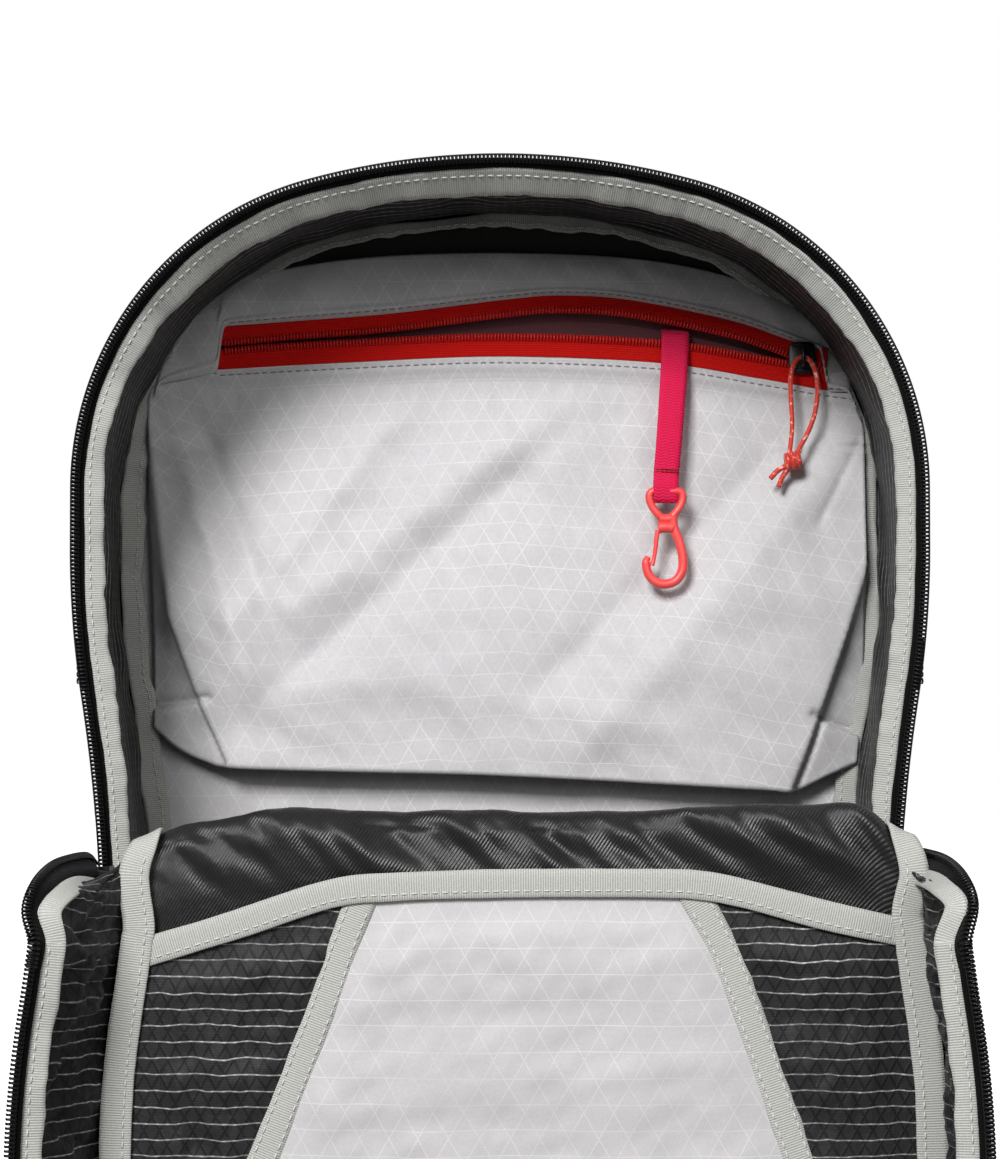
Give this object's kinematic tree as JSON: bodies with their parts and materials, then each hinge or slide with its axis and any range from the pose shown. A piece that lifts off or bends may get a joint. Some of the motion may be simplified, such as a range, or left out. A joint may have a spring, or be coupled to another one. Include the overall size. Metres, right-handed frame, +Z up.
{
  "type": "ski backpack",
  "caption": "Arched zip-opening ski backpack standing with its opening panel folded down; lined main compartment with a zip pocket, key leash, back panel and harness.",
  "frame": {"origin": "centre of the flat base face, midway between the lower front panel and the rear edge of the side panels", "axes": "+Z up, -Y towards the opening side, +Y towards the wearer, +X to the right seen from the opening side"},
  "size_m": [0.4162, 0.3587, 0.5424],
  "materials": {
    "black_fabric": "matte ripstop",
    "dark_ripstop": "ripstop with pale threads",
    "black_twill": "soft twill",
    "grey_lining": "light lining with a triangle grid",
    "grey_grosgrain": "ribbed binding",
    "black_zipper": "coil zipper",
    "red_zipper": "coil zipper",
    "pink_webbing": "ribbed webbing",
    "coral_cord": "braided cord",
    "coral_plastic": "moulded",
    "black_plastic": "moulded",
    "black_metal": "satin",
    "aluminium": "brushed",
    "black_foam": "foam under fabric",
    "black_webbing": "woven",
    "stiff_sheet": "sheet"
  },
  "bodies": {
    "pack": {"back_foam": "black_foam", "back_lining": "grey_lining", "back_pads": "black_foam", "base_panel": "black_fabric", "compression_buckles": "black_plastic", "compression_straps": "black_webbing", "fold_strip": "black_twill", "frame_sheet": "stiff_sheet", "frame_stays": "aluminium", "key_leash_anchor": "pink_webbing", "lower_front_gusset": "black_fabric", "lower_front_panel": "black_fabric", "lower_straps": "black_webbing", "lower_zipper": "black_zipper", "lumbar_pad": "black_foam", "pocket_bag": "grey_lining", "pocket_upper_panel": "grey_lining", "pocket_zipper": "red_zipper", "rear_seam_binding": "grey_grosgrain", "rim_binding": "grey_grosgrain", "rim_zipper": "black_zipper", "side_panel_left": "black_fabric", "side_panel_right": "black_fabric", "ski_loops": "black_webbing", "top_panel": "black_fabric"},
    "flap": {"flap_gusset": "dark_ripstop", "flap_panel": "black_fabric", "flap_lining": "black_twill", "flap_zipper": "black_zipper", "flap_rim_binding": "grey_grosgrain", "flap_seam_binding": "grey_grosgrain", "flap_center_sleeve": "grey_lining", "flap_side_sleeves": "dark_ripstop", "flap_sleeve_bindings": "grey_grosgrain"},
    "pocket_slide": {"pocket_slider": "black_metal"},
    "pocket_pull": {"pocket_pull_cord": "coral_cord", "pocket_pull_knot": "coral_cord"},
    "leash": {"key_leash": "pink_webbing"},
    "hook": {"key_hook": "coral_plastic"},
    "gate": {"key_hook_gate": "coral_plastic"},
    "slider_left": {"main_slider_left": "black_metal"},
    "slider_right": {"main_slider_right": "black_metal"},
    "pull_left": {"main_pull_left": "black_plastic"},
    "pull_right": {"main_pull_right": "black_plastic"},
    "strap_left": {"shoulder_strap_left": "black_foam", "ladder_lock_left": "black_plastic"},
    "strap_right": {"shoulder_strap_right": "black_foam", "ladder_lock_right": "black_plastic"},
    "sternum_left": {"sternum_web_left": "black_webbing", "sternum_socket": "black_plastic"},
    "sternum_right": {"sternum_web_right": "black_webbing", "sternum_plug": "black_plastic"},
    "wing_left": {"hip_wing_left": "black_foam", "hip_webbing_left": "black_webbing", "hip_socket": "black_plastic"},
    "wing_right": {"hip_wing_right": "black_foam", "hip_webbing_right": "black_webbing", "hip_plug": "black_plastic"},
    "haul": {"haul_loop": "black_webbing"}
  },
  "joints": [
    {"name": "flap_fold", "type": "hinge", "parent": "pack", "child": "flap", "pos_m": [0, -0.0885, 0.287], "axis": [-1, 0, 0], "range_deg": [0, 180]},
    {"name": "pocket_zip_slide", "type": "slide", "parent": "pack", "child": "pocket_slide", "axis": [-0.9994, 0, 0.0349], "range_m": [0, 0.2]},
    {"name": "pocket_pull_swing", "type": "hinge", "parent": "pocket_slide", "child": "pocket_pull", "pos_m": [0.11443, 0.0676, 0.46177], "axis": [0, 1, 0], "range_deg": [-25, 25]},
    {"name": "key_leash_swing", "type": "hinge", "parent": "pack", "child": "leash", "pos_m": [0.062, 0.072, 0.4636], "axis": [-1, 0, 0], "range_deg": [0, 55]},
    {"name": "key_hook_pivot", "type": "hinge", "parent": "leash", "child": "hook", "pos_m": [0.062, 0.057, 0.409], "axis": [-1, 0, 0], "range_deg": [0, 80]},
    {"name": "key_gate_flex", "type": "hinge", "parent": "hook", "child": "gate", "pos_m": [0.0584, 0.057, 0.3946], "axis": [0, 1, 0], "range_deg": [-14, 0], "stiffness_Nm_per_rad": 0.02},
    {"name": "main_slider_left_slide", "type": "slide", "parent": "pack", "child": "slider_left", "axis": [0.0593, 0, -0.9982], "range_m": [0, 0.13]},
    {"name": "main_pull_left_swing", "type": "hinge", "parent": "slider_left", "child": "pull_left", "pos_m": [-0.14073, -0.03, 0.26874], "axis": [0, 1, 0], "range_deg": [0, 120]},
    {"name": "shoulder_strap_left_swing", "type": "hinge", "parent": "pack", "child": "strap_left", "pos_m": [-0.042, 0.1, 0.47], "axis": [1, 0, 0], "range_deg": [0, 25]},
    {"name": "sternum_left_slide", "type": "slide", "parent": "strap_left", "child": "sternum_left", "axis": [0, 0.0798, 0.9968], "range_m": [-0.02, 0.02]},
    {"name": "hip_wing_left_swing", "type": "hinge", "parent": "pack", "child": "wing_left", "pos_m": [-0.1, 0.102, 0.11], "axis": [0, 0, -1], "range_deg": [-5, 30]},
    {"name": "main_slider_right_slide", "type": "slide", "parent": "pack", "child": "slider_right", "axis": [-0.0593, 0, -0.9982], "range_m": [0, 0.13]},
    {"name": "main_pull_right_swing", "type": "hinge", "parent": "slider_right", "child": "pull_right", "pos_m": [0.14073, -0.03, 0.26874], "axis": [0, -1, 0], "range_deg": [0, 120]},
    {"name": "shoulder_strap_right_swing", "type": "hinge", "parent": "pack", "child": "strap_right", "pos_m": [0.042, 0.1, 0.47], "axis": [1, 0, 0], "range_deg": [0, 25]},
    {"name": "sternum_right_slide", "type": "slide", "parent": "strap_right", "child": "sternum_right", "axis": [0, 0.0798, 0.9968], "range_m": [-0.02, 0.02]},
    {"name": "hip_wing_right_swing", "type": "hinge", "parent": "pack", "child": "wing_right", "pos_m": [0.1, 0.102, 0.11], "axis": [0, 0, 1], "range_deg": [-5, 30]},
    {"name": "haul_loop_swing", "type": "hinge", "parent": "pack", "child": "haul", "pos_m": [0, 0.1045, 0.5035], "axis": [-1, 0, 0], "range_deg": [0, 60]}
  ]
}
